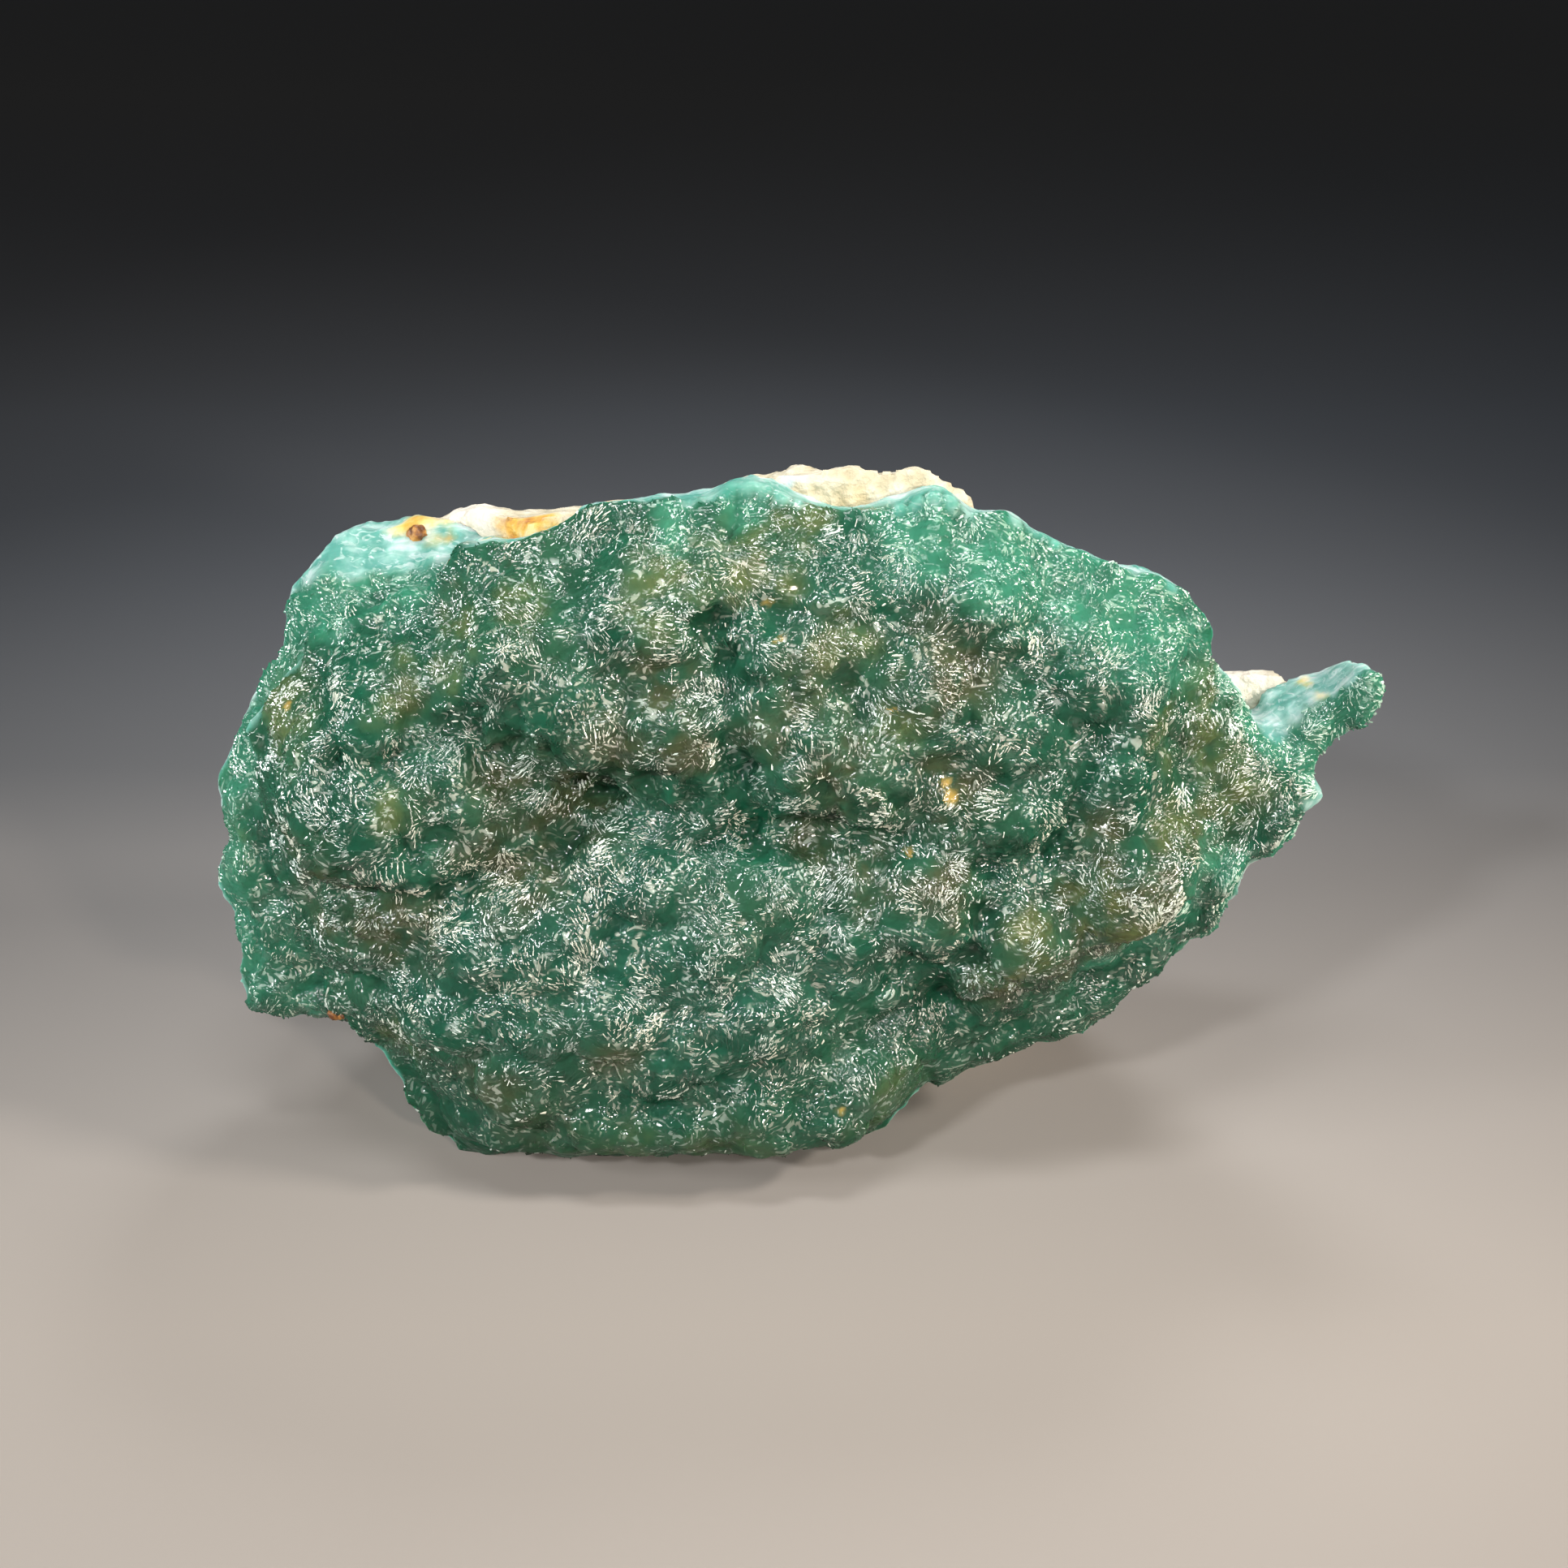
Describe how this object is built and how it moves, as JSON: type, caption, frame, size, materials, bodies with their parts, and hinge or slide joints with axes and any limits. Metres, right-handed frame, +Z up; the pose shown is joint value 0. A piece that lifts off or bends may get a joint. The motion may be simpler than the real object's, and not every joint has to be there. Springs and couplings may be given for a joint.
{
  "type": "adamite specimen",
  "caption": "Hand specimen of green adamite: a knobbly crust of grown-together crystal clusters on cream, iron-stained rock, standing on a flat break.",
  "frame": {"origin": "under the middle of the specimen's bounding box, on the surface that it stands on", "axes": "+X to the right along the specimen's length, +Y away from the viewer through its thickness, +Z up; the crystal face looks towards -Y and leans back about 10 degrees"},
  "size_m": [0.044, 0.018, 0.026],
  "materials": {
    "adamite": "glassy, fine-grained crystal surface",
    "iron_stained_rock": "dull, rough broken surface"
  },
  "bodies": {
    "root": {"adamite_crust": "adamite", "rock_matrix": "iron_stained_rock"}
  },
  "joints": []
}
